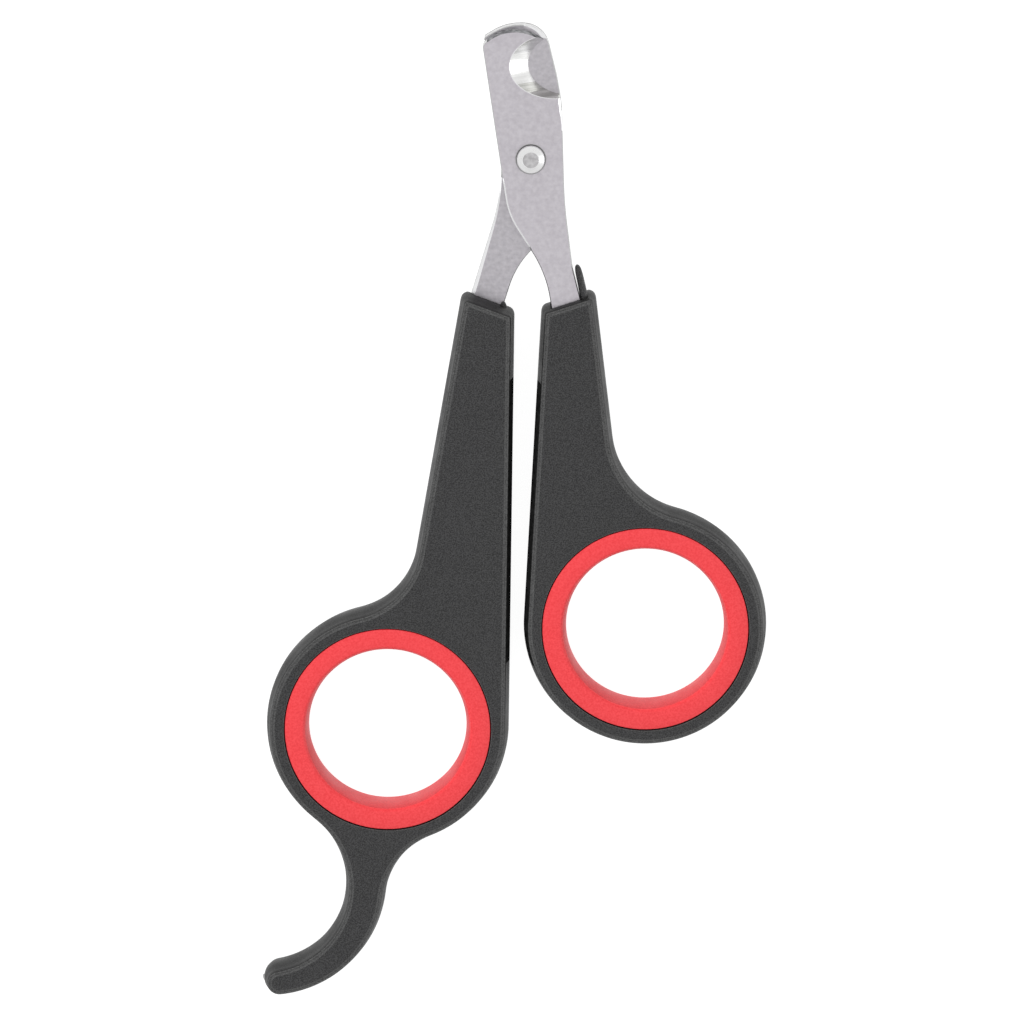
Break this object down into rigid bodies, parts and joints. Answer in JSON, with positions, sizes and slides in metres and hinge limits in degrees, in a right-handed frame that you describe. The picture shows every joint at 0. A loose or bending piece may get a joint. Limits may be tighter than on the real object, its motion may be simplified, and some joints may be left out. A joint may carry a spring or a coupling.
{
  "type": "pet nail trimmer",
  "caption": "Small scissor-type pet nail trimmer: riveted stamped blades with facing notches, each half an oval, in black plastic ring handles with soft inserts and a finger hook.",
  "frame": {"origin": "centre of the outline's box, on the plane that the handles' back faces rest on", "axes": "+X across the object, +Y from the finger hook towards the blade tips, +Z out of the front face, along the rivet"},
  "size_m": [0.0652, 0.1276, 0.0072],
  "materials": {
    "blade_steel": "satin, cross-ground, with polished edges",
    "rivet_steel": "turned and polished",
    "black_plastic": "fine spark-eroded grain",
    "red_rubber": "soft matte"
  },
  "bodies": {
    "rear_lever": {"rear_blade": "blade_steel", "left_handle": "black_plastic", "left_ring": "red_rubber", "pivot_rivet": "rivet_steel"},
    "front_lever": {"front_blade": "blade_steel", "right_handle": "black_plastic", "right_ring": "red_rubber"}
  },
  "joints": [
    {"name": "blade_pivot", "type": "hinge", "parent": "rear_lever", "child": "front_lever", "pos_m": [0.00214, 0.04676, 0.0036], "axis": [0, 0, 1], "range_deg": [-1.3, 90]}
  ]
}
